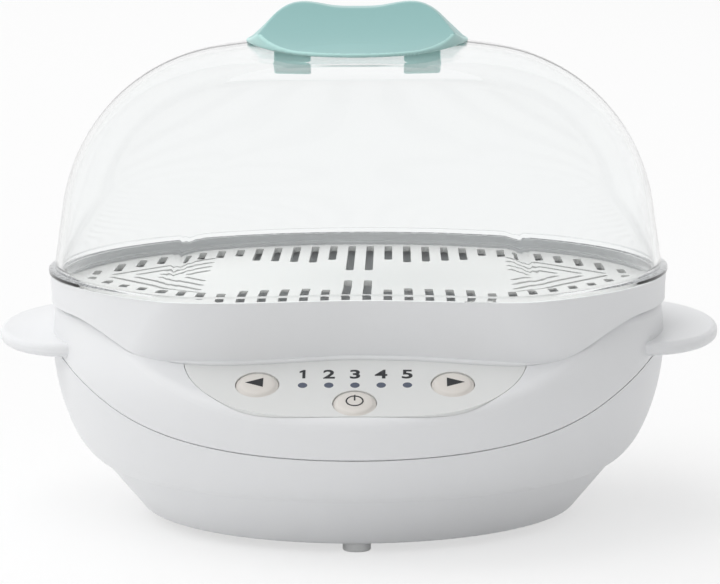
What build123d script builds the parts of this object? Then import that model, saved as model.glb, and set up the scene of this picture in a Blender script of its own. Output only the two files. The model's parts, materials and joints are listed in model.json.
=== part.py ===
from build123d import *

import os
from math import cos, radians, sin, tan

# Steam bottle sterilizer: a white two-part base with a scooped collar and a control panel,
# a slotted tray over a heated water bowl, and a clear dome lid with a teal handle.
# Millimetres. The origin is on the floor under the centre of the round base, +Z is up,
# and the control panel faces -Y.

# ---- Body of the base: half-widths and how far the front bulges, from the crease up
CREASE_Z = 20.5
CREASE_R = 91.8
BODY_SECTIONS = (
    (CREASE_Z, CREASE_R, CREASE_R),
    (26.0, 98.4, 100.0),
    (34.0, 103.0, 107.0),
    (44.0, 106.5, 113.0),
    (54.0, 108.6, 116.4),
    (66.0, 109.2, 112.6),
    (82.0, 109.4, 103.0),
)
WALL = 2.6
BASE_Z = 3.2
BASE_R = 77.5
BASE_EDGE_R = 2.2
FLOOR_T = 2.5

# ---- Parting line between the two housings, in side view: level at the back, low at the front
PARTING = ((-125, 36.0), (-105, 38.6), (-85, 45.0), (-65, 53.8), (-45, 60.0), (-28, 61.6))
GROOVE = 0.5
GROOVE_DEPTH = 1.2

# ---- Shoulder of the upper housing: the panel slope in front runs up to a level deck
SLOPE = 25.0
SLOPE_Y = -101.0
SLOPE_Z = 59.0
DECK_Z = 77.6
DECK_BEND_R = 60.0
DECK_T = 2.8
SHOULDER_R = 4.0

# ---- Ears, the two carrying grips
EAR_X = 100.0
EAR_Y = 10.0
EAR_REACH = 29.5
EAR_HALF_LENGTH = 57.0
EAR_Z = 62.2
EAR_T = 4.6
EAR_EDGE_R = 1.8

# ---- Collar and rim: a circle whose front is drawn in to two lobes with a hollow between
RIM_Z = 87.4
RIM_R = 110.0
RIM_FRONT = 87.5
RIM_LOBE = 93.0
RIM_JOIN = 36.0
LOBE_X = 42.0
FOOT_Z = 60.0
FOOT_FRONT = 80.8
FOOT_LOBE = 84.0
FOOT_JOIN = 50.0
COLLAR_T = 2.6

# ---- Water bowl inside the collar
SHELF_Z = 81.0
SHELF_T = 2.2
BOWL_TOP_INSET = 7.0
BOWL_FLOOR_INSET = 30.0
BOWL_T = 2.2
BOWL_FLOOR_Z = 52.4
DECK_HOLE_INSET = 5.0

# ---- Heater under the bowl
PLATE_HOLE_R = 40.0
SEAL_R = 46.0
SEAL_T = 1.6
PLATE_T = 1.6
PLATE_RISE = 3.6
PLATE_GAP = 1.0
CLAMP_R = 53.0
CLAMP_T = 2.0
CLAMP_OVERLAP = 4.0
CLAMP_SCREW_R = 49.5
ELEMENT_R = 27.0
ELEMENT_TUBE_R = 3.3
ELEMENT_GAP_DEG = 50.0

# ---- Tray
TRAY_T = 2.0
TRAY_GAP = 0.8
TRAY_EDGE_R = 0.6
SLOT_PITCH = 7.15
SLOT_W = 3.0
CHEVRON_W = 2.3
CHEVRON_ANGLE = 54.0
CHEVRON_TIP_X = 90.0
CHEVRON_INNER_X = 55.0
CHEVRONS = 4
PATTERN_Y = 12.0
BAND_LENGTH = 21.0
CENTRE_SLOT_START = (14.0, 45.0, 37.0, 39.0, 41.0, 43.0)
TRAY_MARGIN = 7.0

# ---- Clear dome lid
LID_T = 2.2
LID_STEP = 1.7
LID_FLANGE_T = 2.0
LID_FLANGE_OUT = 0.5
LID_LIP_H = 2.9
LID_LIP_T = 2.0
LID_LIP_GAP = 0.4
CROWN_Z = 170.8
CROWN_R = 340.0
CROWN_ANGLE = 8.37
SIDE_R = 66.0
SIDE_ANGLE = 81.5

# ---- Lid handle, a low saddle on the crown with two snap legs through it
HANDLE_HALF_LENGTH = 39.5
HANDLE_HALF_DEPTH = 42.0
HANDLE_FLANGE_T = 1.3
HANDLE_PROFILE = (
    (39.5, 168.6),
    (33.3, 174.2),
    (28.0, 179.4),
    (21.4, 182.4),
    (9.6, 181.2),
    (0.0, 180.7),
)
HANDLE_RIDGE = 4.5
HANDLE_WAIST = (18.0, 174.4)
CLIP_X = 23.0
CLIP_W = 13.0
CLIP_T = 2.0
CLIP_BARB = 1.0
CLIP_NECK = 1.0
CLIP_H = 9.0
CLIP_GAP = 0.3

# ---- Control panel, placed on the slope: x across, y up the slope, z out of it
PANEL_T = 1.6
PANEL_GAP = 0.25
PANEL_EDGE = ((-57, 22), (-53.3, 6.5), (-40, -7.4), (0, -13.5), (40, -7.4), (53.3, 6.5), (57, 22))
BUTTONS = {"left": (-32.1, 4.85), "right": (32.1, 4.85), "power": (0.0, -5.85)}
BUTTON_R = 7.0
BUTTON_GAP = 0.3
BUTTON_CROWN = 0.9
BUTTON_EDGE_R = 0.8
BUTTON_FLANGE = 0.6
BUTTON_FLANGE_T = 0.9
BUTTON_TRAVEL = 1.0
BUTTON_STEM_R = 1.8
STEM_SLACK = 0.1
LED_COUNT = 5
LED_PITCH = 8.6
LED_Y = 4.4
LED_R = 1.55
LED_H = 3.6
BOARD_DROP = 12.0
BOARD_T = 1.6
BOARD_EDGE = ((-53, 11), (-53, 3), (-26, -11), (26, -11), (53, 3), (53, 11))
SWITCH_SIZE = 6.0
SWITCH_H = 3.5
PLUNGER_R = 1.7
PLUNGER_H = 0.8

# ---- Columns and screws that hold the bowl down on the lower housing
COLUMN_RADIUS = 60.0
COLUMN_R = 4.5
COLUMN_TOP = 44.0
SCREW_SEAT_Z = 32.0
SCREW_R = 1.5
SCREW_HEAD_R = 3.3
SCREW_HEAD_T = 2.5
SCREW_CLEAR = 0.3

# ---- Feet
FOOT_RADIUS = 71.5
FOOT_PAD_R = 4.8
FOOT_STEM_R = 2.0
FOOT_EDGE_R = 0.6
FOOT_STEM_OVER = 1.0

# ---- Power inlet, a two-pin socket in a boss on the back wall
INLET_Z = 36.0
INLET_W = 24.0
INLET_H = 16.0
INLET_DEPTH = 24.0
INLET_FLANGE = 3.0
INLET_FLANGE_T = 3.0
INLET_FACE_Y = 113.5
INLET_BOSS = 2.5
INLET_CORNER_R = 3.0
BOSS_CORNER_R = 4.0
SOCKET_W = 16.0
SOCKET_H = 8.4
SOCKET_DEPTH = 12.0
PIN_R = 1.2
PIN_SPACING = 8.6
PIN_LENGTH = 9.5

# ---- Power board on the floor
PCB_W = 60.0
PCB_D = 34.0
PCB_Y = 36.0
PCB_Z = 12.0
PCB_HOLE = 4.0
POST_R = 2.6
POST_ROOT = 0.4
RELAY = (19.0, 15.5, 15.8)
CAPACITOR_R = 6.5
CAPACITOR_H = 16.0
BOARD_POSTS = ((-50, 7), (50, 7), (-20, -8.5), (20, -8.5))
SMALL_SCREW_R = 1.3
SMALL_HEAD_R = 2.4
SMALL_HEAD_T = 1.6
SCREW_BITE = 5.0
CLAMP_BOSS_R = 3.0
TERMINAL_DROP = 8.0
TERMINAL_LENGTH = 6.0
THERMOSTAT_R = 8.0
THERMOSTAT_H = 9.0
TAB_T = 0.8
TAB_W = 6.0
TAB_LENGTH = 7.0
FUSE_R = 2.0
FUSE_L = 14.0
FUSE_Y = 15.0
VENT_COUNT = 5
VENT_PITCH = 7.0
VENT_W = 3.0
VENT_LENGTH = 26.0

ABOVE = 200.0

os.makedirs("parts", exist_ok=True)


def save(piece, name):
    """Label a finished piece and write it as its own STEP file."""
    piece.part.label = name
    export_step(piece.part, f"parts/{name}.step")


def round_outline(radius, front, lobe, join):
    """Plan outline of the rim: a circle closed in front by a soft double-lobed curve."""
    right = (radius * sin(radians(join)), -radius * cos(radians(join)))
    left = (-right[0], right[1])
    run_out = (cos(radians(join)), sin(radians(join)))
    run_in = (run_out[0], -run_out[1])
    with BuildLine() as edge:
        Spline(left, (-LOBE_X, -lobe), (0, -front), (LOBE_X, -lobe), right, tangents=[run_in, run_out])
        ThreePointArc(right, (0, radius), left)
    make_face(edge.edges())


def collar_outline(height, inset=0.0):
    """The collar's outline at a height, between its foot and the rim, moved in by inset."""
    share = min((RIM_Z - height) / (RIM_Z - FOOT_Z), 1.0)
    front = RIM_FRONT + share * (FOOT_FRONT - RIM_FRONT)
    lobe = RIM_LOBE + share * (FOOT_LOBE - RIM_LOBE)
    join = RIM_JOIN + share * (FOOT_JOIN - RIM_JOIN)
    round_outline(RIM_R - inset, front - inset, lobe - inset, join)


def body_outline(half_width, front):
    """Plan outline of the body: a half circle behind and a slightly deeper half ellipse in front."""
    with BuildLine() as edge:
        EllipticalCenterArc((0, 0), half_width, front, start_angle=180, arc_size=180)
        CenterArc((0, 0), half_width, 0, 180)
    make_face(edge.edges())


def body_form(inset):
    """Smooth solid of the body above the crease, moved in by inset."""
    with BuildPart() as form:
        for height, half_width, front in BODY_SECTIONS:
            with BuildSketch(Plane.XY.offset(height)):
                body_outline(half_width - inset, front - inset)
        loft()
    return form.part


def collar_form(inset, top):
    """Collar solid, its front leaning in from the rim to the foot, moved in by inset."""
    with BuildPart() as form:
        with BuildSketch(Plane.XY.offset(FOOT_Z)):
            collar_outline(FOOT_Z, inset)
        with BuildSketch(Plane.XY.offset(top)):
            collar_outline(top, inset)
        loft(ruled=True)
    return form.part


def bowl_form(inset, floor_z):
    """Bowl solid, narrowing from the tray shelf to its floor."""
    with BuildPart() as form:
        with BuildSketch(Plane.XY.offset(floor_z)):
            collar_outline(SHELF_Z, BOWL_FLOOR_INSET - inset)
        with BuildSketch(Plane.XY.offset(SHELF_Z)):
            collar_outline(SHELF_Z, BOWL_TOP_INSET - inset)
        loft(ruled=True)
    return form.part


def deck_block(drop, above):
    """Everything above (or below) the shoulder surface, lowered by drop."""
    bend_rise = DECK_BEND_R * (1 - cos(radians(SLOPE)))
    bend_y = SLOPE_Y + (DECK_Z - bend_rise - SLOPE_Z) / tan(radians(SLOPE))
    bend_z = DECK_Z - bend_rise - drop
    front_y = -2 * RIM_R
    front_z = bend_z + (front_y - bend_y) * tan(radians(SLOPE))
    limit_z = 2 * RIM_R if above else -2 * RIM_R
    with BuildPart() as block:
        with BuildSketch(Plane.YZ):
            with BuildLine():
                slope = Line((front_y, front_z), (bend_y, bend_z))
                bend = JernArc(slope @ 1, slope % 1, DECK_BEND_R, -SLOPE)
                level = Line(bend @ 1, (2 * RIM_R, DECK_Z - drop))
                Polyline(level @ 1, (2 * RIM_R, limit_z), (front_y, limit_z), slope @ 0)
            make_face()
        extrude(amount=2 * RIM_R, both=True)
    return block.part


def parting_block(bottom, top):
    """Slab between the parting curve moved by bottom and the same curve moved by top."""
    curve = [(y, z) for y, z in PARTING]
    with BuildPart() as block:
        with BuildSketch(Plane.YZ):
            with BuildLine():
                low = Spline(*[(y, z + bottom) for y, z in curve], tangents=[(1, 0.05), (1, 0)])
                low_back = Line(low @ 1, (2 * RIM_R, curve[-1][1] + bottom))
                high = Spline(*[(y, z + top) for y, z in curve], tangents=[(1, 0.05), (1, 0)])
                high_back = Line(high @ 1, (2 * RIM_R, curve[-1][1] + top))
                Line(low @ 0, high @ 0)
                Line(low_back @ 1, high_back @ 1)
            make_face()
        extrude(amount=2 * RIM_R, both=True)
    return block.part


def panel_outline(grow):
    """The control panel's outline on the slope, grown or shrunk evenly."""
    corners = [Vector(x, y) for x, y in PANEL_EDGE]
    middle = (corners[0] + corners[-1] + 2 * corners[3]) / 4
    with BuildLine() as edge:
        side = Spline(*[corner + (corner - middle).normalized() * grow for corner in corners])
        Line(side @ 1, side @ 0)
    make_face(edge.edges())


def column_slots():
    """Slots that run front to back: (x, near end, far end) for each column on one side."""
    slots = []
    for column in range(14):
        x = SLOT_PITCH * (column + 0.5)
        edge = (RIM_R - COLLAR_T - TRAY_MARGIN) ** 2 - x**2
        far = edge**0.5 - PATTERN_Y
        near = CENTRE_SLOT_START[column] if column < len(CENTRE_SLOT_START) else far - BAND_LENGTH
        near = max(near, SLOT_W)
        slots += [(x, PATTERN_Y + near, PATTERN_Y + far), (x, PATTERN_Y - far, PATTERN_Y - near)]
    return slots


def chevron_slots():
    """Legs of the nested chevrons in one quarter, from the pattern's centre: (tip, inner end)."""
    legs = []
    rise = tan(radians(CHEVRON_ANGLE))
    for number in range(CHEVRONS):
        tip_x = CHEVRON_TIP_X - number * SLOT_PITCH / sin(radians(CHEVRON_ANGLE))
        tip = (tip_x, 3.0)
        legs.append((tip, (CHEVRON_INNER_X, 3.0 + (tip_x - CHEVRON_INNER_X) * rise)))
    return legs


def dome_form(inset, bottom):
    """Dome solid down to a height, its front cut back to the collar's outline."""
    with BuildPart() as form:
        with BuildSketch(Plane.XZ):
            with BuildLine():
                crown = JernArc((0, CROWN_Z - inset), (1, 0), CROWN_R - inset, -CROWN_ANGLE)
                side = JernArc(crown @ 1, crown % 1, SIDE_R - inset, CROWN_ANGLE - SIDE_ANGLE)
                drop = (side @ 1).Y - bottom
                wall = Line(side @ 1, side @ 1 + Vector(drop / tan(radians(SIDE_ANGLE)), -drop))
                Polyline(wall @ 1, (0, bottom), (0, CROWN_Z - inset))
            make_face()
        revolve(axis=Axis.Z)
        with BuildSketch(Plane.XY.offset(bottom)):
            collar_outline(RIM_Z, LID_STEP + inset)
        extrude(amount=ABOVE, mode=Mode.INTERSECT)
    return form.part


def ring_points(radius, count, start):
    """Places evenly round a circle."""
    return PolarLocations(radius, count, start_angle=start)


PANEL_PLANE = Plane(
    origin=(0, SLOPE_Y, SLOPE_Z),
    x_dir=(1, 0, 0),
    z_dir=(0, -sin(radians(SLOPE)), cos(radians(SLOPE))),
)
FLOOR_TOP = BASE_Z + FLOOR_T
BOWL_UNDER_Z = BOWL_FLOOR_Z - BOWL_T
PLATE_TOP_FLANGE = BOWL_UNDER_Z - SEAL_T
PLATE_BOTTOM = PLATE_TOP_FLANGE - PLATE_T

outer_form = body_form(0)
inner_form = body_form(WALL)
groove_form = body_form(GROOVE_DEPTH)

# ---- Lower housing: skirt, floor and walls up to the parting line
with BuildPart() as lower_housing:
    with BuildSketch(Plane.XZ):
        with BuildLine():
            Polyline((0, BASE_Z), (BASE_R, BASE_Z), (CREASE_R, CREASE_Z), (0, CREASE_Z), (0, BASE_Z))
        skirt_face = make_face()
        fillet(skirt_face.vertices().group_by(Axis.X)[-2].sort_by(Axis.Y)[0], BASE_EDGE_R)
    revolve(axis=Axis.Z)
    add(outer_form)
    add(parting_block(0, ABOVE), mode=Mode.SUBTRACT)
    add(inner_form, mode=Mode.SUBTRACT)
    with BuildSketch(Plane.XZ):
        Polygon(
            (0, FLOOR_TOP),
            (BASE_R - WALL, FLOOR_TOP),
            (CREASE_R - WALL, CREASE_Z),
            (0, CREASE_Z),
            align=None,
        )
    revolve(axis=Axis.Z, mode=Mode.SUBTRACT)
    # Boss round the power inlet
    with BuildSketch(Plane.XZ.offset(-(INLET_FACE_Y - INLET_FLANGE_T))):
        with Locations((0, INLET_Z)):
            RectangleRounded(INLET_W + 4 * INLET_BOSS, INLET_H + 4 * INLET_BOSS, BOSS_CORNER_R)
    extrude(amount=INLET_DEPTH / 2)
    # Columns for the long screws
    with BuildSketch(Plane.XY.offset(FLOOR_TOP - FLOOR_T / 2)):
        with ring_points(COLUMN_RADIUS, 4, 45):
            Circle(COLUMN_R)
    extrude(amount=COLUMN_TOP - FLOOR_TOP + FLOOR_T / 2)
    with Locations(Plane.XY.offset(BASE_Z)):
        with ring_points(COLUMN_RADIUS, 4, 45):
            Cylinder(
                SCREW_HEAD_R + SCREW_CLEAR,
                SCREW_SEAT_Z - BASE_Z,
                align=(Align.CENTER, Align.CENTER, Align.MIN),
                mode=Mode.SUBTRACT,
            )
            Cylinder(
                SCREW_R + SCREW_CLEAR,
                COLUMN_TOP - BASE_Z,
                align=(Align.CENTER, Align.CENTER, Align.MIN),
                mode=Mode.SUBTRACT,
            )
    # Opening for the inlet through boss and wall
    with BuildSketch(Plane.XZ.offset(-(INLET_FACE_Y - INLET_FLANGE_T))):
        with Locations((0, INLET_Z)):
            Rectangle(INLET_W, INLET_H)
    extrude(amount=INLET_DEPTH, mode=Mode.SUBTRACT)
    # Holes for the feet, and cooling slots in the floor
    with BuildSketch(Plane.XY.offset(BASE_Z)):
        with ring_points(FOOT_RADIUS, 4, 0):
            Circle(FOOT_STEM_R)
        with GridLocations(VENT_PITCH, 0, VENT_COUNT, 1):
            SlotOverall(VENT_LENGTH, VENT_W, rotation=90)
    extrude(amount=FLOOR_T, mode=Mode.SUBTRACT)
    # Posts under the power board
    with BuildSketch(Plane.XY.offset(FLOOR_TOP)):
        with Locations((0, PCB_Y)):
            with GridLocations(PCB_W - 2 * PCB_HOLE, PCB_D - 2 * PCB_HOLE, 2, 2):
                Circle(POST_R)
                Circle(SMALL_SCREW_R, mode=Mode.SUBTRACT)
    extrude(amount=PCB_Z - FLOOR_TOP)
save(lower_housing, "lower_housing")

# ---- Upper housing: shoulder, deck, ears and the recess for the control panel
with BuildPart() as ears:
    with BuildSketch(Plane.XY.offset(EAR_Z)):
        with Locations((EAR_X, EAR_Y), (-EAR_X, EAR_Y)):
            Ellipse(EAR_REACH, EAR_HALF_LENGTH)
    extrude(amount=EAR_T)
    fillet(ears.edges().filter_by(GeomType.ELLIPSE), EAR_EDGE_R)

with BuildPart() as cavity:
    add(inner_form)
    add(deck_block(DECK_T, True), mode=Mode.SUBTRACT)

with BuildPart() as groove:
    add(parting_block(0, GROOVE))
    add(groove_form, mode=Mode.SUBTRACT)

with BuildPart() as upper_housing:
    add(outer_form)
    add(deck_block(0, True), mode=Mode.SUBTRACT)
    deck_faces = upper_housing.faces().filter_by(lambda face: face.normal_at().Z > 0.5)
    fillet(deck_faces.edges().filter_by(GeomType.LINE, reverse=True), SHOULDER_R)
    add(ears.part)
    add(cavity.part, mode=Mode.SUBTRACT)
    add(parting_block(-ABOVE, 0), mode=Mode.SUBTRACT)
    add(groove.part, mode=Mode.SUBTRACT)
    # Hole for the bowl
    with BuildSketch(Plane.XY.offset(FOOT_Z)):
        collar_outline(FOOT_Z, DECK_HOLE_INSET)
    extrude(amount=ABOVE, mode=Mode.SUBTRACT)
    # Pocket for the control panel, with holes behind the buttons and the lights
    with BuildSketch(PANEL_PLANE.offset(-PANEL_T)):
        panel_outline(PANEL_GAP)
    extrude(amount=PANEL_T + GROOVE, mode=Mode.SUBTRACT)
    with BuildSketch(PANEL_PLANE.offset(-PANEL_T)):
        with Locations(*BUTTONS.values()):
            Circle(BUTTON_R + BUTTON_GAP + BUTTON_FLANGE + BUTTON_GAP)
        with Locations((0, LED_Y)):
            SlotOverall((LED_COUNT + 1) * LED_PITCH, 2 * LED_R + 2 * BUTTON_GAP)
    extrude(amount=-BOARD_DROP / 2, mode=Mode.SUBTRACT)
    # Posts that carry the control board
    with BuildSketch(PANEL_PLANE.offset(-BOARD_DROP)):
        with Locations(*BOARD_POSTS):
            Circle(POST_R)
            Circle(SMALL_SCREW_R, mode=Mode.SUBTRACT)
    extrude(amount=BOARD_DROP - PANEL_T - POST_ROOT)
save(upper_housing, "upper_housing")

# ---- Water bowl, moulded in one with the collar and the tray shelf
with BuildPart() as collar:
    add(collar_form(0, RIM_Z))
    add(collar_form(COLLAR_T, RIM_Z), mode=Mode.SUBTRACT)
    add(deck_block(0, False), mode=Mode.SUBTRACT)

with BuildPart() as water_bowl:
    add(collar.part)
    with BuildSketch(Plane.XY.offset(SHELF_Z - SHELF_T)):
        collar_outline(SHELF_Z, COLLAR_T)
    extrude(amount=SHELF_T)
    add(bowl_form(BOWL_T, BOWL_UNDER_Z))
    add(bowl_form(0, BOWL_FLOOR_Z), mode=Mode.SUBTRACT)
    with BuildSketch(Plane.XY.offset(BOWL_UNDER_Z)):
        Circle(PLATE_HOLE_R)
    extrude(amount=BOWL_T, mode=Mode.SUBTRACT)
    # Bosses for the long screws and for the clamp ring
    with BuildSketch(Plane.XY.offset(COLUMN_TOP)):
        with ring_points(COLUMN_RADIUS, 4, 45):
            Circle(COLUMN_R)
            Circle(SCREW_R, mode=Mode.SUBTRACT)
    extrude(amount=BOWL_UNDER_Z - COLUMN_TOP)
    with BuildSketch(Plane.XY.offset(PLATE_BOTTOM)):
        with ring_points(CLAMP_SCREW_R, 3, 90):
            Circle(CLAMP_BOSS_R)
            Circle(SMALL_SCREW_R, mode=Mode.SUBTRACT)
    extrude(amount=BOWL_UNDER_Z - PLATE_BOTTOM)
save(water_bowl, "water_bowl")

# ---- Heater: seal, steel plate, ring element, clamp ring and its screws, thermostat and fuse
with BuildPart() as plate_seal:
    with BuildSketch(Plane.XY.offset(PLATE_TOP_FLANGE)):
        Circle(SEAL_R)
        Circle(PLATE_HOLE_R, mode=Mode.SUBTRACT)
    extrude(amount=SEAL_T)
save(plate_seal, "plate_seal")

with BuildPart() as heating_plate:
    plate_r = PLATE_HOLE_R - PLATE_GAP
    with BuildSketch(Plane.XZ):
        with BuildLine():
            Polyline(
                (0, PLATE_BOTTOM + PLATE_RISE),
                (plate_r - PLATE_T, PLATE_BOTTOM + PLATE_RISE),
                (plate_r - PLATE_T, PLATE_BOTTOM),
                (SEAL_R, PLATE_BOTTOM),
                (SEAL_R, PLATE_TOP_FLANGE),
                (plate_r, PLATE_TOP_FLANGE),
                (plate_r, PLATE_TOP_FLANGE + PLATE_RISE),
                (0, PLATE_TOP_FLANGE + PLATE_RISE),
                close=True,
            )
        plate_face = make_face()
        fillet(plate_face.vertices().group_by(Axis.Y)[-1].group_by(Axis.X)[-1], PLATE_T)
    revolve(axis=Axis.Z)
save(heating_plate, "heating_plate")

with BuildPart() as heating_element:
    element_z = PLATE_BOTTOM + PLATE_RISE - ELEMENT_TUBE_R
    start = ELEMENT_GAP_DEG / 2 - 90
    with BuildLine(Plane.XY.offset(element_z)) as element_path:
        CenterArc((0, 0), ELEMENT_R, start, 360 - ELEMENT_GAP_DEG)
    with BuildSketch(Plane(element_path.line @ 0, z_dir=element_path.line % 0)):
        Circle(ELEMENT_TUBE_R)
    sweep()
    for end in (element_path.line @ 0, element_path.line @ 1):
        with BuildSketch(Plane((end.X, end.Y, element_z))):
            Circle(ELEMENT_TUBE_R)
        extrude(amount=-TERMINAL_DROP)
save(heating_element, "heating_element")

with BuildPart() as element_terminals:
    for end in (element_path.line @ 0, element_path.line @ 1):
        with BuildSketch(Plane((end.X, end.Y, element_z - TERMINAL_DROP))):
            Circle(SMALL_SCREW_R)
        extrude(amount=-TERMINAL_LENGTH)
save(element_terminals, "element_terminals")

with BuildPart() as plate_clamp:
    with BuildSketch(Plane.XY.offset(PLATE_BOTTOM - CLAMP_T)):
        Circle(CLAMP_R)
        Circle(SEAL_R - CLAMP_OVERLAP, mode=Mode.SUBTRACT)
        with ring_points(CLAMP_SCREW_R, 3, 90):
            Circle(SMALL_SCREW_R, mode=Mode.SUBTRACT)
    extrude(amount=CLAMP_T)
save(plate_clamp, "plate_clamp")

with BuildPart() as clamp_screws:
    with BuildSketch(Plane.XY.offset(PLATE_BOTTOM - CLAMP_T)):
        with ring_points(CLAMP_SCREW_R, 3, 90):
            Circle(SMALL_SCREW_R)
    extrude(amount=CLAMP_T + BOWL_UNDER_Z - PLATE_BOTTOM)
    with BuildSketch(Plane.XY.offset(PLATE_BOTTOM - CLAMP_T)):
        with ring_points(CLAMP_SCREW_R, 3, 90):
            Circle(SMALL_HEAD_R)
    extrude(amount=-SMALL_HEAD_T)
save(clamp_screws, "clamp_screws")

with BuildPart() as thermostat:
    with BuildSketch(Plane.XY.offset(PLATE_BOTTOM + PLATE_RISE)):
        Circle(THERMOSTAT_R)
    extrude(amount=-THERMOSTAT_H)
    with BuildSketch(Plane.XY.offset(PLATE_BOTTOM + PLATE_RISE - THERMOSTAT_H)):
        with GridLocations(THERMOSTAT_R, 0, 2, 1):
            Rectangle(TAB_T, TAB_W)
    extrude(amount=-TAB_LENGTH)
save(thermostat, "thermostat")

with BuildPart() as thermal_fuse:
    with BuildSketch(Plane.YZ.offset(-FUSE_L / 2)):
        with Locations((FUSE_Y, PLATE_BOTTOM + PLATE_RISE - FUSE_R)):
            Circle(FUSE_R)
    extrude(amount=FUSE_L)
save(thermal_fuse, "thermal_fuse")

# ---- Tray: a flat plate in the collar, pierced by rows of slots and nested chevrons
with BuildPart() as slotted_tray:
    with BuildSketch(Plane.XY.offset(SHELF_Z)):
        collar_outline(SHELF_Z, COLLAR_T + TRAY_GAP)
    extrude(amount=TRAY_T)
    fillet(slotted_tray.edges().group_by(Axis.Z)[-1], TRAY_EDGE_R)
    with BuildSketch(Plane.XY.offset(SHELF_Z)):
        for x, near, far in column_slots():
            for side in (-1, 1):
                with Locations((side * x, (near + far) / 2)):
                    SlotOverall(far - near, SLOT_W, rotation=90)
        for start, end in chevron_slots():
            length = ((end[0] - start[0]) ** 2 + (end[1] - start[1]) ** 2) ** 0.5
            middle = ((start[0] + end[0]) / 2, (start[1] + end[1]) / 2)
            for side in (-1, 1):
                for turn in (-1, 1):
                    with Locations((side * middle[0], PATTERN_Y + turn * middle[1])):
                        SlotOverall(length, CHEVRON_W, rotation=-side * turn * CHEVRON_ANGLE)
    extrude(amount=TRAY_T, mode=Mode.SUBTRACT)
save(slotted_tray, "slotted_tray")

# ---- Clear dome lid: flange on the rim, locating lip inside it, slots for the handle's legs
seat_slot_w = CLIP_W + 2 * CLIP_GAP
seat_slot_t = CLIP_T + 2 * CLIP_GAP
with BuildPart() as dome_cavity:
    add(dome_form(LID_T, RIM_Z - LID_LIP_H))

with BuildPart() as dome_lid:
    add(dome_form(0, RIM_Z))
    with BuildSketch(Plane.XY.offset(RIM_Z)):
        collar_outline(RIM_Z, -LID_FLANGE_OUT)
    extrude(amount=LID_FLANGE_T)
    with BuildSketch(Plane.XY.offset(RIM_Z - LID_LIP_H)):
        collar_outline(RIM_Z - LID_LIP_H, COLLAR_T + LID_LIP_GAP)
    extrude(amount=LID_LIP_H)
    add(dome_cavity.part, mode=Mode.SUBTRACT)
    with BuildSketch(Plane.XY.offset(RIM_Z - LID_LIP_H)):
        collar_outline(RIM_Z - LID_LIP_H, COLLAR_T + LID_LIP_GAP + LID_LIP_T)
    extrude(amount=LID_LIP_H + LID_FLANGE_T, mode=Mode.SUBTRACT)
    with BuildSketch(Plane.XY.offset(CROWN_Z - 3 * LID_T)):
        with Locations((CLIP_X, 0), (-CLIP_X, 0)):
            Rectangle(seat_slot_w, seat_slot_t)
    extrude(amount=4 * LID_T, mode=Mode.SUBTRACT)
save(dome_lid, "dome_lid")

# ---- Lid handle
with BuildPart() as saddle_skirt:
    with BuildSketch(Plane.XY.offset(CROWN_Z - ABOVE / 4)):
        Ellipse(HANDLE_HALF_LENGTH, HANDLE_HALF_DEPTH)
    extrude(amount=ABOVE)
    add(dome_form(-HANDLE_FLANGE_T, RIM_Z), mode=Mode.INTERSECT)

with BuildPart() as lid_handle:
    with BuildSketch(Plane.XZ):
        with BuildLine():
            half = Spline(*HANDLE_PROFILE, tangents=[(-1, 0.9), (-1, 0)])
            mirror(half, about=Plane.YZ)
            low = HANDLE_PROFILE[0]
            Polyline(low, (low[0], RIM_Z), (-low[0], RIM_Z), (-low[0], low[1]))
        make_face()
    extrude(amount=HANDLE_HALF_DEPTH, both=True)
    with BuildSketch(Plane.YZ):
        with BuildLine():
            low = (HANDLE_HALF_DEPTH, CROWN_Z - HANDLE_FLANGE_T)
            ridge = (HANDLE_RIDGE, HANDLE_PROFILE[3][1] + HANDLE_FLANGE_T)
            front = ThreePointArc(low, HANDLE_WAIST, ridge)
            mirror(front, about=Plane.YZ)
            Line(ridge, (-ridge[0], ridge[1]))
            Polyline(low, (low[0], RIM_Z), (-low[0], RIM_Z), (-low[0], low[1]))
        make_face()
    extrude(amount=2 * HANDLE_HALF_LENGTH, both=True, mode=Mode.INTERSECT)
    with BuildSketch(Plane.XY.offset(CROWN_Z - ABOVE / 4)):
        Ellipse(HANDLE_HALF_LENGTH, HANDLE_HALF_DEPTH)
    extrude(amount=ABOVE, mode=Mode.INTERSECT)
    add(saddle_skirt.part)
    add(dome_form(0, RIM_Z - LID_LIP_H), mode=Mode.SUBTRACT)
    # Snap legs through the slots
    leg_seat = CROWN_Z - CROWN_R + (CROWN_R**2 - CLIP_X**2) ** 0.5
    leg_top = leg_seat - LID_T - CLIP_GAP
    with BuildSketch(Plane.XY.offset(leg_top - CLIP_H)):
        with Locations((CLIP_X, 0), (-CLIP_X, 0)):
            Rectangle(CLIP_W, CLIP_T)
    extrude(amount=CLIP_H + LID_T + HANDLE_FLANGE_T)
    with BuildSketch(Plane.XY.offset(leg_top - CLIP_H)):
        with Locations((CLIP_X, 0), (-CLIP_X, 0)):
            Rectangle(CLIP_W, CLIP_T + 2 * CLIP_BARB)
    extrude(amount=CLIP_H - CLIP_NECK)
save(lid_handle, "lid_handle")

# ---- Control panel with its buttons, light windows and board
with BuildPart() as control_panel:
    with BuildSketch(PANEL_PLANE.offset(-PANEL_T)):
        panel_outline(0)
        with Locations(*BUTTONS.values()):
            Circle(BUTTON_R + BUTTON_GAP, mode=Mode.SUBTRACT)
        with Locations((0, LED_Y)):
            with GridLocations(LED_PITCH, 0, LED_COUNT, 1):
                Circle(LED_R, mode=Mode.SUBTRACT)
    extrude(amount=PANEL_T)
save(control_panel, "control_panel")

with BuildPart() as led_windows:
    with BuildSketch(PANEL_PLANE.offset(LED_H - BOARD_DROP)):
        with Locations((0, LED_Y)):
            with GridLocations(LED_PITCH, 0, LED_COUNT, 1):
                Circle(LED_R)
    extrude(amount=BOARD_DROP - LED_H)
save(led_windows, "led_windows")

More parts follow.
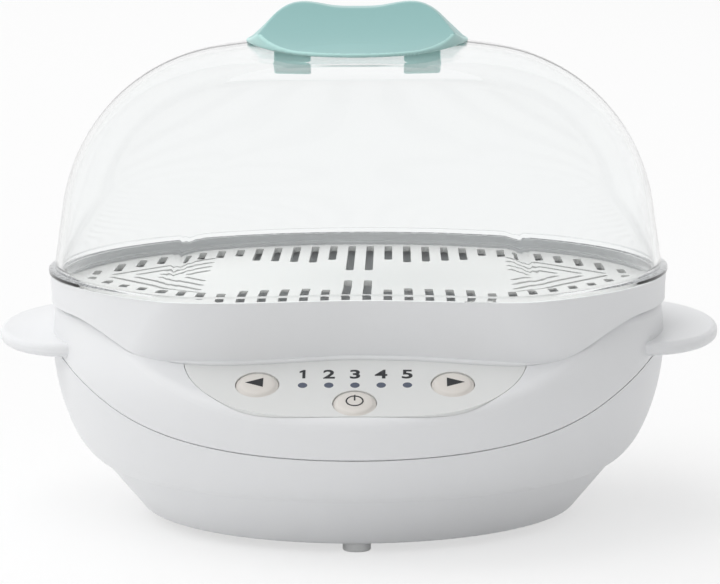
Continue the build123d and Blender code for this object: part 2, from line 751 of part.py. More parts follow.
with BuildPart() as status_leds:
    with BuildSketch(PANEL_PLANE.offset(-BOARD_DROP)):
        with Locations((0, LED_Y)):
            with GridLocations(LED_PITCH, 0, LED_COUNT, 1):
                Circle(LED_R + BUTTON_GAP)
    extrude(amount=LED_H)
save(status_leds, "status_leds")

flange_top = -PANEL_T - BUTTON_GAP
flange_bottom = flange_top - BUTTON_FLANGE_T
stem_bottom = SWITCH_H + PLUNGER_H + BUTTON_TRAVEL + STEM_SLACK - BOARD_DROP
for name, place in BUTTONS.items():
    with BuildPart() as button:
        with BuildSketch(PANEL_PLANE.offset(flange_bottom)):
            with Locations(place):
                Circle(BUTTON_R + BUTTON_GAP + BUTTON_FLANGE)
        extrude(amount=BUTTON_FLANGE_T)
        with BuildSketch(PANEL_PLANE.offset(flange_bottom)):
            with Locations(place):
                Circle(BUTTON_R)
        extrude(amount=BUTTON_CROWN - flange_bottom)
        fillet(button.edges().sort_by(Axis.Z)[-1], BUTTON_EDGE_R)
        with BuildSketch(PANEL_PLANE.offset(stem_bottom)):
            with Locations(place):
                Circle(BUTTON_STEM_R)
        extrude(amount=flange_bottom - stem_bottom)
    save(button, f"button_{name}")

with BuildPart() as control_board:
    with BuildSketch(PANEL_PLANE.offset(-BOARD_DROP - BOARD_T)):
        Polygon(*BOARD_EDGE, align=None)
        with Locations(*BOARD_POSTS):
            Circle(SMALL_SCREW_R, mode=Mode.SUBTRACT)
    extrude(amount=BOARD_T)
save(control_board, "control_board")

with BuildPart() as tact_switches:
    with BuildSketch(PANEL_PLANE.offset(-BOARD_DROP)):
        with Locations(*BUTTONS.values()):
            Rectangle(SWITCH_SIZE, SWITCH_SIZE)
    extrude(amount=SWITCH_H)
    with BuildSketch(PANEL_PLANE.offset(SWITCH_H - BOARD_DROP)):
        with Locations(*BUTTONS.values()):
            Circle(PLUNGER_R)
    extrude(amount=PLUNGER_H)
save(tact_switches, "tact_switches")

with BuildPart() as board_screws:
    with BuildSketch(PANEL_PLANE.offset(-BOARD_DROP - BOARD_T)):
        with Locations(*BOARD_POSTS):
            Circle(SMALL_SCREW_R)
    extrude(amount=BOARD_T + SCREW_BITE)
    with BuildSketch(PANEL_PLANE.offset(-BOARD_DROP - BOARD_T)):
        with Locations(*BOARD_POSTS):
            Circle(SMALL_HEAD_R)
    extrude(amount=-SMALL_HEAD_T)
save(board_screws, "board_screws")

# ---- Power board on its posts, with its relay, capacitor and screws
with BuildPart() as power_board:
    with BuildSketch(Plane.XY.offset(PCB_Z)):
        with Locations((0, PCB_Y)):
            Rectangle(PCB_W, PCB_D)
            with GridLocations(PCB_W - 2 * PCB_HOLE, PCB_D - 2 * PCB_HOLE, 2, 2):
                Circle(SMALL_SCREW_R, mode=Mode.SUBTRACT)
    extrude(amount=BOARD_T)
save(power_board, "power_board")

with BuildPart() as power_board_screws:
    with BuildSketch(Plane.XY.offset(PCB_Z - SCREW_BITE)):
        with Locations((0, PCB_Y)):
            with GridLocations(PCB_W - 2 * PCB_HOLE, PCB_D - 2 * PCB_HOLE, 2, 2):
                Circle(SMALL_SCREW_R)
    extrude(amount=BOARD_T + SCREW_BITE)
    with BuildSketch(Plane.XY.offset(PCB_Z + BOARD_T)):
        with Locations((0, PCB_Y)):
            with GridLocations(PCB_W - 2 * PCB_HOLE, PCB_D - 2 * PCB_HOLE, 2, 2):
                Circle(SMALL_HEAD_R)
    extrude(amount=SMALL_HEAD_T)
save(power_board_screws, "power_board_screws")

with BuildPart() as relay:
    with BuildSketch(Plane.XY.offset(PCB_Z + BOARD_T)):
        with Locations((-PCB_W / 5, PCB_Y)):
            Rectangle(*RELAY[:2])
    extrude(amount=RELAY[2])
save(relay, "relay")

with BuildPart() as capacitor:
    with BuildSketch(Plane.XY.offset(PCB_Z + BOARD_T)):
        with Locations((PCB_W / 5, PCB_Y)):
            Circle(CAPACITOR_R)
    extrude(amount=CAPACITOR_H)
save(capacitor, "capacitor")

# ---- Power inlet: a two-pin socket block with its pins
with BuildPart() as power_inlet:
    with BuildSketch(Plane.XZ.offset(-INLET_FACE_Y)):
        with Locations((0, INLET_Z)):
            RectangleRounded(INLET_W + 2 * INLET_FLANGE, INLET_H + 2 * INLET_FLANGE, INLET_CORNER_R)
    extrude(amount=INLET_FLANGE_T)
    with BuildSketch(Plane.XZ.offset(-INLET_FACE_Y)):
        with Locations((0, INLET_Z)):
            Rectangle(INLET_W, INLET_H)
    extrude(amount=INLET_DEPTH)
    with BuildSketch(Plane.XZ.offset(-INLET_FACE_Y)):
        with Locations((0, INLET_Z)):
            SlotOverall(SOCKET_W, SOCKET_H)
    extrude(amount=SOCKET_DEPTH, mode=Mode.SUBTRACT)
save(power_inlet, "power_inlet")

with BuildPart() as inlet_pins:
    with BuildSketch(Plane.XZ.offset(-(INLET_FACE_Y - SOCKET_DEPTH))):
        with Locations((0, INLET_Z)):
            with GridLocations(PIN_SPACING, 0, 2, 1):
                Circle(PIN_R)
    extrude(amount=-PIN_LENGTH)
save(inlet_pins, "inlet_pins")

# ---- Long screws that clamp the bowl, and the rubber feet
with BuildPart() as housing_screws:
    with BuildSketch(Plane.XY.offset(SCREW_SEAT_Z)):
        with ring_points(COLUMN_RADIUS, 4, 45):
            Circle(SCREW_R)
    extrude(amount=BOWL_UNDER_Z - SCREW_SEAT_Z)
    with BuildSketch(Plane.XY.offset(SCREW_SEAT_Z)):
        with ring_points(COLUMN_RADIUS, 4, 45):
            Circle(SCREW_HEAD_R)
    extrude(amount=-SCREW_HEAD_T)
save(housing_screws, "housing_screws")

with BuildPart() as feet:
    with BuildSketch(Plane.XY):
        with ring_points(FOOT_RADIUS, 4, 0):
            Circle(FOOT_PAD_R)
    extrude(amount=BASE_Z)
    fillet(feet.edges().group_by(Axis.Z)[0], FOOT_EDGE_R)
    with BuildSketch(Plane.XY.offset(BASE_Z)):
        with ring_points(FOOT_RADIUS, 4, 0):
            Circle(FOOT_STEM_R)
    extrude(amount=FLOOR_T + FOOT_STEM_OVER)
save(feet, "feet")
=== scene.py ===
import json
from math import atan2, cos, hypot, pi, radians, sin

import bpy
import numpy as np
from mathutils import Matrix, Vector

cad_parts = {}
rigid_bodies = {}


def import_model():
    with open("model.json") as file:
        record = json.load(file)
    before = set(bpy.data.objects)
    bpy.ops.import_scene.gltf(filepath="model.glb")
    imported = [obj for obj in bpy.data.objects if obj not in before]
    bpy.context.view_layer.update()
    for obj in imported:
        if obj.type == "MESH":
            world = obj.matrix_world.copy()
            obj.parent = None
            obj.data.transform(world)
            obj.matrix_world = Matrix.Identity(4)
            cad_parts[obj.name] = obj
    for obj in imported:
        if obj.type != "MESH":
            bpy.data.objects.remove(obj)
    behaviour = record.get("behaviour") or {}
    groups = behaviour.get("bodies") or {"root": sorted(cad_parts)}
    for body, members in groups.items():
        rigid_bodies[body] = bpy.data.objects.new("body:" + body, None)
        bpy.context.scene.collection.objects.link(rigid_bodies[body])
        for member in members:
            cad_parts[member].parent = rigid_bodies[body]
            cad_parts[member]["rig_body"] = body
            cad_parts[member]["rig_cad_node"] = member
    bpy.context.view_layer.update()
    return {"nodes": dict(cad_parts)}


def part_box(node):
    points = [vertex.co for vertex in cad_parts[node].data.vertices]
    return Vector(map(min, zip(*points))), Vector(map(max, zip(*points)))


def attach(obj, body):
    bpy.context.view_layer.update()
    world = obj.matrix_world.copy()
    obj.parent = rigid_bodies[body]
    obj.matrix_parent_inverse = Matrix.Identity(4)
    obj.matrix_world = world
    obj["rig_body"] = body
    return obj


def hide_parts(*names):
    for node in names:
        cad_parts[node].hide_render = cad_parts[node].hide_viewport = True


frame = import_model()
nodes = frame["nodes"]
bpy.ops.object.select_all(action="DESELECT")

# ---- Camera
# A long lens a metre away looks slightly down on the control panel.
camera_data = bpy.data.cameras.new("camera")
camera_data.lens = 147.83
camera_data.sensor_width = 36.0
camera_data.clip_start = 0.05
camera_data.clip_end = 50.0
camera = bpy.data.objects.new("camera", camera_data)
bpy.context.scene.collection.objects.link(camera)
bpy.context.scene.camera = camera
camera_turn = Matrix.Rotation(radians(0.7), 4, "Z")
camera_tilt = Matrix.Rotation(pi / 2 - 0.136, 4, "X") @ Matrix.Rotation(-0.0044, 4, "Z")
camera.matrix_world = camera_turn @ Matrix.Translation((0.0006, -1.0536, 0.2226)) @ camera_tilt


# ---- Studio floor and light
# A white table in a white room, under a soft key light from the upper left, with weaker ones
# from the front and the side.
def linear(code):
    """Turn an sRGB hex colour into the linear one the shaders use."""
    parts = [int(code[i : i + 2], 16) / 255 for i in (1, 3, 5)]
    return (*[p / 12.92 if p <= 0.04045 else ((p + 0.055) / 1.055) ** 2.4 for p in parts], 1.0)


def add_node(tree, kind, settings=None, **links):
    """Add a node, set its properties and inputs, and link the sockets it reads from."""
    node = tree.nodes.new(kind)
    for name, value in (settings or {}).items():
        if hasattr(node, name):
            setattr(node, name, value)
        else:
            node.inputs[name].default_value = value
    for name, socket in links.items():
        target = int(name[1:]) if name[1:].isdigit() else name.replace("_", " ")
        tree.links.new(socket, node.inputs[target])
    return node


def new_material(name):
    """An empty node material and its tree."""
    material = bpy.data.materials.new(name)
    material.use_nodes = True
    material.node_tree.nodes.clear()
    return material, material.node_tree


def seen_rays(tree):
    """A socket that is 1 for what is looked at, straight, mirrored or through the dome, else 0."""
    rays = add_node(tree, "ShaderNodeLightPath")
    straight, through, mirrored = (
        rays.outputs[kind] for kind in ("Is Camera Ray", "Is Transmission Ray", "Is Glossy Ray")
    )
    larger = {"operation": "MAXIMUM"}
    first_two = add_node(tree, "ShaderNodeMath", larger, _0=straight, _1=through)
    return add_node(tree, "ShaderNodeMath", larger, _0=first_two.outputs[0], _1=mirrored).outputs[0]


bpy.ops.mesh.primitive_plane_add(size=30.0, location=(0, 0, 0))
floor = bpy.context.object
floor.name = "studio_floor"
table_white, tree = new_material("matt_white_table")
seen = seen_rays(tree)
paint = add_node(tree, "ShaderNodeBsdfDiffuse", {"Color": linear("#F6F6F6")})
glow = add_node(tree, "ShaderNodeEmission", {"Color": linear("#FFFFFF"), "Strength": 1.0})
lift = add_node(tree, "ShaderNodeMath", {"operation": "MULTIPLY"}, _0=seen)
lift.inputs[1].default_value = 0.62
mixed = add_node(
    tree, "ShaderNodeMixShader", None, _0=lift.outputs[0], _1=paint.outputs[0], _2=glow.outputs[0]
)
add_node(tree, "ShaderNodeOutputMaterial", None, Surface=mixed.outputs[0])
floor.data.materials.append(table_white)

world = bpy.data.worlds.new("white_room")
bpy.context.scene.world = world
world.use_nodes = True
tree = world.node_tree
tree.nodes.clear()
seen = seen_rays(tree)
level = add_node(tree, "ShaderNodeMapRange", {"To Min": 0.44, "To Max": 1.0}, Value=seen)
sky = add_node(tree, "ShaderNodeBackground", {"Color": linear("#FFFFFF")}, Strength=level.outputs[0])
add_node(tree, "ShaderNodeOutputWorld", None, Surface=sky.outputs[0])

for name, strength, spread, turn in (
    ("key_light", 1.5, 80, (-33, 0, 62)),
    ("fill_light", 0.6, 60, (36, 0, -25)),
    ("side_light", 0.35, 70, (0, -75, 15)),
):
    lamp = bpy.data.lights.new(name, "SUN")
    lamp.energy = strength
    lamp.angle = radians(spread)
    lamp_object = bpy.data.objects.new(name, lamp)
    lamp_object.rotation_euler = [radians(a) for a in turn]
    lamp_object.visible_glossy = False
    lamp_object.visible_transmission = False
    bpy.context.scene.collection.objects.link(lamp_object)
bpy.context.scene.view_settings.view_transform = "Standard"


# ---- Housings and water bowl
# White polypropylene shells, moulded with a fine spark-eroded grain that softens their gloss.
def moulded(name, colour, roughness, grain_mm, depth_mm, tint):
    """Moulded plastic: flow marks in the colour, a grain in the surface and a worn sheen."""
    material, tree = new_material(name)
    place = add_node(tree, "ShaderNodeTexCoord").outputs["Object"]
    flow = add_node(tree, "ShaderNodeTexNoise", {"Scale": 14.0, "Detail": 3.0}, Vector=place)
    grain = add_node(tree, "ShaderNodeTexNoise", {"Scale": 1000 / grain_mm, "Detail": 2.0}, Vector=place)
    shade = add_node(tree, "ShaderNodeMix", {"data_type": "RGBA"}, Factor=flow.outputs["Fac"])
    shade.inputs[6].default_value = linear(colour)
    shade.inputs[7].default_value = linear(tint)
    gloss_range = {"To Min": roughness - 0.04, "To Max": roughness + 0.05}
    sheen = add_node(tree, "ShaderNodeMapRange", gloss_range, Value=flow.outputs["Fac"])
    relief = {"Strength": 0.35, "Distance": depth_mm / 1000}
    bump = add_node(tree, "ShaderNodeBump", relief, Height=grain.outputs["Fac"])
    skin = add_node(
        tree,
        "ShaderNodeBsdfPrincipled",
        {"IOR": 1.49},
        Base_Color=shade.outputs[2],
        Roughness=sheen.outputs[0],
        Normal=bump.outputs[0],
    )
    add_node(tree, "ShaderNodeOutputMaterial", None, Surface=skin.outputs[0])
    return material


def finish(node, material):
    """Give a frame node its finish."""
    data = nodes[node].data
    data.materials.clear()
    data.materials.append(material)


white_pp = moulded("white_polypropylene", "#E8E9EA", 0.36, 0.5, 0.02, "#E4E5E7")
for node in ("lower_housing", "upper_housing", "water_bowl"):
    finish(node, white_pp)

# Rolled bead along the collar's foot, over the control panel
slope = radians(25)
slope_y, slope_z = -0.101, 0.059
slope_rise = np.tan(slope)
bowl_points = [v.co for v in nodes["water_bowl"].data.vertices]
foot_line = []
for x in (-0.064, -0.054, -0.042, -0.03, -0.015, 0.0, 0.015, 0.03, 0.042, 0.054, 0.064):
    near_foot = [
        co
        for co in bowl_points
        if abs(co.x - x) < 0.004
        and co.y < -0.06
        and abs(co.z - slope_z - (co.y - slope_y) * slope_rise) < 0.00004
    ]
    if near_foot:
        foot_line.append(min(near_foot, key=lambda co: co.y))
bead_curve = bpy.data.curves.new("collar_bead", "CURVE")
bead_curve.dimensions = "3D"
bead_curve.bevel_depth = 0.0009
bead_curve.bevel_resolution = 5
bead_curve.resolution_u = 16
bead_curve.use_fill_caps = True
spline = bead_curve.splines.new("NURBS")
spline.points.add(len(foot_line) - 1)
for point, co in zip(spline.points, foot_line):
    point.co = (co.x, co.y - 0.0002, co.z + 0.0003, 1.0)
spline.points[0].radius = spline.points[-1].radius = 0.2
spline.order_u = 3
spline.use_endpoint_u = True
bead = bpy.data.objects.new("collar_bead", bead_curve)
bpy.context.scene.collection.objects.link(bead)
bpy.context.view_layer.objects.active = bead
bead.select_set(True)
bpy.ops.object.convert(target="MESH")
bpy.ops.object.shade_smooth()
bead.data.materials.clear()
bead.data.materials.append(white_pp)
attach(bead, "base")
bead.select_set(False)

# ---- Slotted tray
# A thinner white moulding, a little glossier where bottles slide over it.
tray_pp = moulded("white_tray_polypropylene", "#E6E6E4", 0.3, 0.6, 0.01, "#E1E1E0")
finish("slotted_tray", tray_pp)

# ---- Control panel, its print, buttons and light windows
# A warm grey ABS plate with dark pad printing, three white keys and five smoked lenses.
panel_abs = moulded("grey_abs_panel", "#E4E5E4", 0.42, 0.35, 0.015, "#E0E1E0")
key_abs = moulded("white_abs_keys", "#E3DFDA", 0.38, 0.4, 0.01, "#DDD8D2")
lens_pc = moulded("smoked_polycarbonate_lens", "#596071", 0.18, 0.8, 0.004, "#525A6B")
finish("control_panel", panel_abs)
finish("led_windows", lens_pc)

panel_frame = Matrix.Translation((0, slope_y, slope_z)) @ Matrix.Rotation(slope, 4, "X")

# Each key is a low dome in a sunk ring, turned in one with its flange and its stem: radius
# and height in millimetres from the crown to the end of the stem
key_section = [
    (0.0, 0.88),
    (3.0, 0.86),
    (4.6, 0.76),
    (5.5, 0.56),
    (6.0, 0.28),
    (6.25, -0.05),
    (6.5, -0.3),
    (6.85, -0.36),
    (7.0, -0.5),
    (7.0, -1.9),
    (7.9, -1.9),
    (7.9, -2.8),
    (1.8, -2.8),
    (1.8, -6.6),
    (0.0, -6.6),
]
key_places = {
    "button_left": (-0.0321, 0.00485),
    "button_right": (0.0321, 0.00485),
    "button_power": (0.0, -0.00585),
}
for body, place in key_places.items():
    finish(body, key_abs)
    mesh = bpy.data.meshes.new("key")
    corners = [(r / 1000, 0, z / 1000) for r, z in key_section]
    mesh.from_pydata(corners, [(k, k + 1) for k in range(len(corners) - 1)], [])
    key = bpy.data.objects.new(body.replace("button", "key"), mesh)
    bpy.context.scene.collection.objects.link(key)
    bpy.context.view_layer.objects.active = key
    key.select_set(True)
    turned = key.modifiers.new("turned", "SCREW")
    turned.steps = turned.render_steps = 72
    turned.use_merge_vertices = True
    turned.merge_threshold = 0.000002
    bpy.ops.object.modifier_apply(modifier=turned.name)
    bpy.ops.object.mode_set(mode="EDIT")
    bpy.ops.mesh.select_all(action="SELECT")
    bpy.ops.mesh.remove_doubles(threshold=0.000002)
    bpy.ops.mesh.normals_make_consistent(inside=False)
    bpy.ops.object.mode_set(mode="OBJECT")
    bpy.ops.object.shade_smooth_by_angle(angle=radians(50))
    key.data.transform(panel_frame @ Matrix.Translation((*place, 0)))
    key.data.materials.append(key_abs)
    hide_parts(body)
    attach(key, body)
    key.select_set(False)

# Pad printing in dark ink: the five step numbers, an arrow on each side key, a power mark
print_ink = moulded("black_pad_print", "#26282B", 0.5, 0.3, 0.004, "#202225")


def print_on(shape, name, body, place, height):
    """Make a flat shape a thin layer of ink at a place on the slope, riding on a body."""
    bpy.ops.object.convert(target="MESH")
    shape.name = name
    shape.data.transform(panel_frame @ Matrix.Translation((*place, height)) @ shape.matrix_basis)
    shape.matrix_basis = Matrix.Identity(4)
    shape.data.materials.clear()
    shape.data.materials.append(print_ink)
    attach(shape, body)
    shape.select_set(False)


def thicken(height):
    """Give the flat active shape a height of ink."""
    bpy.ops.object.mode_set(mode="EDIT")
    bpy.ops.mesh.select_all(action="SELECT")
    bpy.ops.mesh.extrude_region_move(TRANSFORM_OT_translate={"value": (0, 0, height)})
    bpy.ops.mesh.select_all(action="SELECT")
    bpy.ops.mesh.normals_make_consistent(inside=False)
    bpy.ops.object.mode_set(mode="OBJECT")


# The printed 1 has a short slanted flag, as an outline in millimetres; the others are text
numeral_one = [(0.6, 4.8), (-0.15, 4.8), (-1.35, 3.95), (-1.35, 3.1), (-0.4, 3.6), (-0.4, 0.0), (0.6, 0.0)]
mesh = bpy.data.meshes.new("printed_1")
corners = [(x / 1000, y / 1000, 0) for x, y in numeral_one]
mesh.from_pydata(corners, [], [tuple(range(len(corners)))[::-1]])
digit = bpy.data.objects.new("printed_1", mesh)
bpy.context.scene.collection.objects.link(digit)
bpy.context.view_layer.objects.active = digit
digit.select_set(True)
thicken(0.00008)
print_on(digit, "printed_1", "base", (-0.0170, 0.0084), 0.00001)

for step in range(1, 5):
    bpy.ops.object.text_add()
    digit = bpy.context.object
    digit.data.body = str(step + 1)
    digit.data.size = 0.0068
    digit.data.offset = 0.00016
    digit.data.extrude = 0.00005
    digit.data.align_x = "CENTER"
    digit.matrix_basis = Matrix.Diagonal((1.2, 1.0, 1.0, 1.0))
    print_on(digit, f"printed_{step + 1}", "base", (0.0086 * (step - 2), 0.0084), 0.00003)

for side, body in ((-1, "button_left"), (1, "button_right")):
    bpy.ops.mesh.primitive_circle_add(vertices=3, radius=0.0039, fill_type="NGON")
    arrow = bpy.context.object
    thicken(0.00006)
    arrow.data.transform(Matrix.Rotation(-side * pi / 2, 4, "Z") @ Matrix.Diagonal((0.75, 1.0, 1.0, 1.0)))
    print_on(arrow, f"printed_arrow_{body[7:]}", body, key_places[body], 0.00088)

bpy.ops.curve.primitive_bezier_circle_add(radius=0.0027)
ring = bpy.context.object
ring.data.bevel_depth = 0.00026
ring.data.bevel_factor_start = 0.34
ring.data.bevel_factor_end = 0.91
ring.data.resolution_u = 24
print_on(ring, "printed_power_ring", "button_power", key_places["button_power"], 0.00083)

bpy.ops.mesh.primitive_cube_add(size=1.0)
bar = bpy.context.object
bar.data.transform(Matrix.Translation((0, 0.0018, 0)) @ Matrix.Diagonal((0.00055, 0.0032, 0.0002, 1.0)))
bevel = bar.modifiers.new("soft_ends", "BEVEL")
bevel.width = 0.0001
bevel.segments = 2
bpy.ops.object.modifier_apply(modifier=bevel.name)
print_on(bar, "printed_power_bar", "button_power", key_places["button_power"], 0.00086)

# ---- Clear dome lid
# Clear copolyester, injection moulded 2.2 mm thick. Its foot follows the rim of the collar,
# with a flange on the rim and a lip inside it.
# Its index of refraction is set lower than the plastic's own, so that less of what stands
# behind the walls is bent.
clear_pct, tree = new_material("clear_copolyester")
haze = add_node(
    tree,
    "ShaderNodeTexNoise",
    {"Scale": 30.0, "Detail": 2.0},
    Vector=add_node(tree, "ShaderNodeTexCoord").outputs["Object"],
)
polish = add_node(tree, "ShaderNodeMapRange", {"To Min": 0.0, "To Max": 0.03}, Value=haze.outputs["Fac"])
clear = add_node(
    tree,
    "ShaderNodeBsdfPrincipled",
    {"Base Color": linear("#FBFCFC"), "IOR": 1.22, "Transmission Weight": 1.0},
    Roughness=polish.outputs[0],
)
add_node(tree, "ShaderNodeOutputMaterial", None, Surface=clear.outputs[0])
finish("dome_lid", clear_pct)

rim_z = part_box("water_bowl")[1].z
flange_top = rim_z + 0.002
flange_points = [v.co for v in nodes["dome_lid"].data.vertices]
low_ring, high_ring = (
    {(round(co.x, 6), round(co.y, 6)) for co in flange_points if abs(co.z - z) < 0.00001}
    for z in (rim_z, flange_top)
)
rim_points = sorted((atan2(y, x), hypot(x, y)) for x, y in low_ring & high_ring)
# A smooth closed curve through those points, as a periodic cubic in the angle, that is then
# averaged over a few degrees to ease its corners
knots, values = (np.array(column) for column in zip(*rim_points))
keep = np.concatenate([[True], np.diff(knots) > 0.004])
knots, values = knots[keep], values[keep]
gaps = np.diff(np.append(knots, knots[0] + 2 * pi))
slopes = (np.roll(values, -1) - values) / gaps
count = len(knots)
bends = np.zeros((count, count))
for k in range(count):
    bends[k, k - 1] += gaps[k - 1]
    bends[k, k] += 2 * (gaps[k - 1] + gaps[k])
    bends[k, (k + 1) % count] += gaps[k]
curvature = np.linalg.solve(bends, 6 * (slopes - np.roll(slopes, 1)))
even_angles = np.linspace(-pi, pi, 1440, endpoint=False)
piece = (np.searchsorted(knots, even_angles, side="right") - 1) % count
along = (even_angles - knots[piece]) % (2 * pi)
rest = gaps[piece] - along
ahead = (piece + 1) % count
reaches = (
    curvature[piece] * rest**3 / (6 * gaps[piece])
    + curvature[ahead] * along**3 / (6 * gaps[piece])
    + (values[piece] / gaps[piece] - curvature[piece] * gaps[piece] / 6) * rest
    + (values[ahead] / gaps[piece] - curvature[ahead] * gaps[piece] / 6) * along
)
window = np.hanning(41) / np.hanning(41).sum()
reaches = np.convolve(np.concatenate([reaches[-20:], reaches, reaches[:20]]), window, "valid")
back_reach = reaches.max()


# Radius and height of the outer wall, from the flat crown round the shoulder and down to the rim
crown_z, crown_r, crown_end = 0.1708, 0.34, radians(8.37)
side_r, side_end = 0.066, radians(81.5)
wall = [(crown_r * sin(a), crown_z - crown_r + crown_r * cos(a)) for a in np.linspace(0, crown_end, 26)]
hub_r = (crown_r - side_r) * sin(crown_end)
hub_z = crown_z - crown_r + (crown_r - side_r) * cos(crown_end)
wall += [(hub_r + side_r * sin(a), hub_z + side_r * cos(a)) for a in np.linspace(crown_end, side_end, 60)[1:]]
last_r, last_z = wall[-1]
wall += [
    (last_r + (last_z - z) / np.tan(side_end), z) for z in np.linspace(last_z, flange_top, 12)[1:]
]
# How far each corner of the flange and the lip keeps inside the rim, and its height
lip_z = rim_z - 0.0029
foot = [
    (0.0006, flange_top),
    (0.0, rim_z + 0.0016),
    (0.0, rim_z + 0.0004),
    (0.0004, rim_z),
    (0.0037, rim_z),
    (0.0038, lip_z),
    (0.0055, lip_z),
    (0.0055, rim_z),
]
rim_r = 0.11
section = wall + [(rim_r - inside, z) for inside, z in foot] + wall[::-1]
mesh = bpy.data.meshes.new("dome_section")
mesh.from_pydata([(r, 0, z) for r, z in section], [(k, k + 1) for k in range(len(section) - 1)], [])
dome = bpy.data.objects.new("clear_dome", mesh)
bpy.context.scene.collection.objects.link(dome)
bpy.context.view_layer.objects.active = dome
dome.select_set(True)
bpy.ops.object.mode_set(mode="EDIT")
bpy.ops.mesh.select_all(action="SELECT")
bpy.ops.mesh.spin(steps=240, angle=2 * pi, center=(0, 0, 0), axis=(0, 0, 1), dupli=False)
bpy.ops.object.mode_set(mode="OBJECT")


def front_droop(y, z):
    """How much lower the crown and the saddle on it lie towards the front."""
    forward = np.clip((-0.004 - y) / 0.045, 0, 1)
    high = np.clip((z - 0.125) / 0.035, 0, 1)
    return 0.0036 * forward * forward * (3 - 2 * forward) * high * high * (3 - 2 * high)


# Each turn of the section is pressed to the rim's outline: the front wall stands up from the
# rim and melts into the dome, and the inner wall stays an even 2.2 mm behind the outer one
spun = np.array([v.co for v in dome.data.vertices]).reshape(-1, len(section), 3)
angles = np.arctan2(spun[:, len(wall), 1], spun[:, len(wall), 0])
rims = np.interp(angles, even_angles, reaches, period=2 * pi)[:, None]
shell = 0.0022
longest_blend = 0.014
eased = np.clip((back_reach - rims) / longest_blend, 0, 1)
blend = longest_blend * eased * eased * (3 - 2 * eased) + 1e-6
free = np.array([r for r, z in wall])[None, :]
pressed = rims - shell
near = np.clip(blend - abs(free - pressed), 0, None) / blend
radius = np.minimum(free, pressed) - near * near * blend / 4
compass = np.stack([np.cos(angles), np.sin(angles)], axis=1)[:, None, :]
outer = np.empty((len(angles), len(wall), 3))
outer[..., :2] = radius[..., None] * compass
outer[..., 2] = [z for r, z in wall]
outer[..., 2] -= front_droop(outer[..., 1], outer[..., 2])
down = np.gradient(outer, axis=1)
round_way = np.roll(outer, -1, axis=0) - np.roll(outer, 1, axis=0)
if np.allclose(spun[0], spun[-1], atol=1e-7):
    round_way[0] = round_way[-1] = outer[1] - outer[-2]
out_way = np.cross(down, round_way)
out_way[:, 0] = (0, 0, 1)
out_way /= np.linalg.norm(out_way, axis=2, keepdims=True)
out_way *= np.sign((out_way * (outer - (0, 0, 0.08))).sum(axis=2, keepdims=True))
inner = outer - shell * out_way
spun[:, : len(wall)] = outer
spun[:, -len(wall) :] = inner[:, ::-1]
for k, (inside, z) in enumerate(foot, len(wall)):
    spun[:, k, :2] = (rims - inside) * compass[:, 0]
    spun[:, k, 2] = z
dome.data.vertices.foreach_set("co", spun.reshape(-1))
dome.data.update()
bpy.ops.object.mode_set(mode="EDIT")
bpy.ops.mesh.select_all(action="SELECT")
bpy.ops.mesh.remove_doubles(threshold=0.00001)
bpy.ops.mesh.normals_make_consistent(inside=False)
bpy.ops.object.mode_set(mode="OBJECT")
bpy.ops.object.shade_smooth_by_angle(angle=radians(40))
dome.data.materials.append(clear_pct)
# So thin and clear a shell throws next to no shadow on the tray
dome.visible_shadow = False
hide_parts("dome_lid")
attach(dome, "lid")
dome.select_set(False)

# ---- Lid handle
# Teal polypropylene saddle with soft edges, held by two snap legs through the crown.
teal_pp = moulded("teal_polypropylene", "#92C0BE", 0.34, 0.5, 0.015, "#8EBCBA")
handle = nodes["lid_handle"].copy()
handle.data = nodes["lid_handle"].data.copy()
handle.name = "teal_handle"
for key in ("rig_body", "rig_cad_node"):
    del handle[key]
handle.parent = None
bpy.context.scene.collection.objects.link(handle)
bpy.context.view_layer.objects.active = handle
handle.select_set(True)
bpy.ops.object.mode_set(mode="EDIT")
bpy.ops.mesh.select_all(action="SELECT")
bpy.ops.mesh.remove_doubles(threshold=0.00001)
bpy.ops.object.mode_set(mode="OBJECT")
remesh = handle.modifiers.new("even_skin", "REMESH")
remesh.mode = "VOXEL"
remesh.voxel_size = 0.00055
bpy.ops.object.modifier_apply(modifier=remesh.name)
soften = handle.modifiers.new("soft_edges", "SMOOTH")
soften.factor = 0.5
soften.iterations = 4
bpy.ops.object.modifier_apply(modifier=soften.name)
for vertex in handle.data.vertices:
    vertex.co.z -= float(front_droop(vertex.co.y, max(vertex.co.z, 0.165)))
bpy.ops.object.shade_smooth()
# The flange's thin edge and the legs get a paler copy of the teal as painted light: a painted highlight on
# the edge for the light it catches and lets through, and painted light that lifts the legs out of their shade
painted_light_teal_pp = moulded("painted_light_teal_polypropylene", "#BCE6E2", 0.3, 0.5, 0.01, "#B7E1DD")
handle.data.materials.clear()
handle.data.materials.append(teal_pp)
handle.data.materials.append(painted_light_teal_pp)
handle_half_length, handle_half_depth = 0.0395, 0.042
# Faces near the flange's edge and on the legs take the paler teal, which is painted light
for face in handle.data.polygons:
    middle = face.center
    off_centre = (middle.x / handle_half_length) ** 2 + (middle.y / handle_half_depth) ** 2
    at_edge = off_centre > 0.955 and middle.z < 0.172
    face.material_index = int(at_edge or middle.z < 0.1645 and abs(middle.y) < 0.004)
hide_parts("lid_handle")
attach(handle, "lid")
handle.select_set(False)

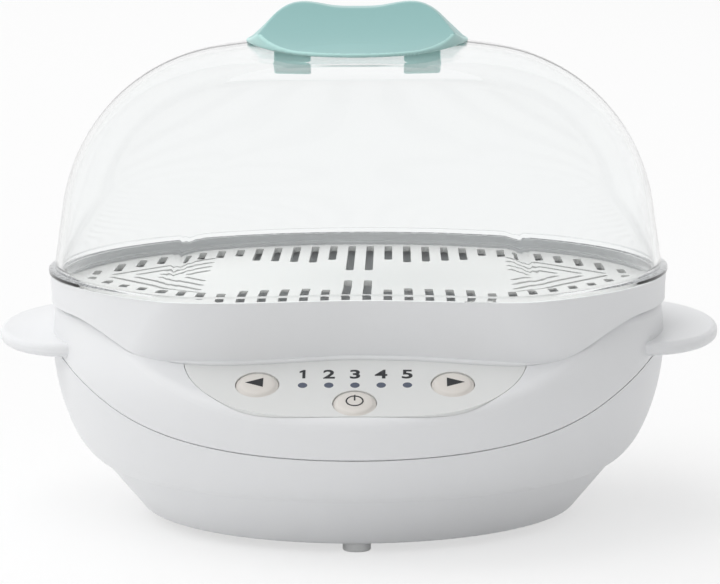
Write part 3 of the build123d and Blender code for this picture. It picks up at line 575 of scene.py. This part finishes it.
# ---- Feet, heater and electrics
# Grey thermoplastic rubber, stainless plate, brass and boards inside the base.
foot_tpr = moulded("grey_rubber", "#DFE0E0", 0.7, 0.5, 0.02, "#D8D9D9")
board_fr4 = moulded("green_fr4_board", "#2E6B3C", 0.45, 0.8, 0.01, "#2A6237")
black_pbt = moulded("black_pbt", "#262626", 0.4, 0.5, 0.015, "#222222")
silicone = moulded("white_silicone", "#D8D8D4", 0.6, 0.5, 0.01, "#D2D2CE")
finish("feet", foot_tpr)
finish("plate_seal", silicone)
for node in ("control_board", "power_board"):
    finish(node, board_fr4)
for node in ("tact_switches", "relay", "capacitor", "power_inlet", "status_leds"):
    finish(node, black_pbt)


def metal(name, colour, roughness, grain_mm):
    """Bare metal with fine rolled or turned lines."""
    material, tree = new_material(name)
    place = add_node(tree, "ShaderNodeTexCoord").outputs["Object"]
    lines = add_node(tree, "ShaderNodeTexNoise", {"Scale": 1000 / grain_mm, "Detail": 4.0}, Vector=place)
    gloss_range = {"To Min": roughness - 0.06, "To Max": roughness + 0.08}
    sheen = add_node(tree, "ShaderNodeMapRange", gloss_range, Value=lines.outputs["Fac"])
    relief = {"Strength": 0.2, "Distance": 0.00001}
    bump = add_node(tree, "ShaderNodeBump", relief, Height=lines.outputs["Fac"])
    skin = add_node(
        tree,
        "ShaderNodeBsdfPrincipled",
        {"Base Color": linear(colour), "Metallic": 1.0},
        Roughness=sheen.outputs[0],
        Normal=bump.outputs[0],
    )
    add_node(tree, "ShaderNodeOutputMaterial", None, Surface=skin.outputs[0])
    return material


stainless = metal("rolled_stainless_steel", "#C4C4C6", 0.3, 0.4)
zinc = metal("zinc_plated_steel", "#B4B6BA", 0.35, 0.5)
brass = metal("turned_brass", "#CBAA63", 0.3, 0.5)
finish("heating_plate", stainless)
for node in ("plate_clamp", "clamp_screws", "board_screws", "power_board_screws", "housing_screws"):
    finish(node, zinc)
for node in ("thermostat", "thermal_fuse", "heating_element"):
    finish(node, zinc)
for node in ("element_terminals", "inlet_pins"):
    finish(node, brass)
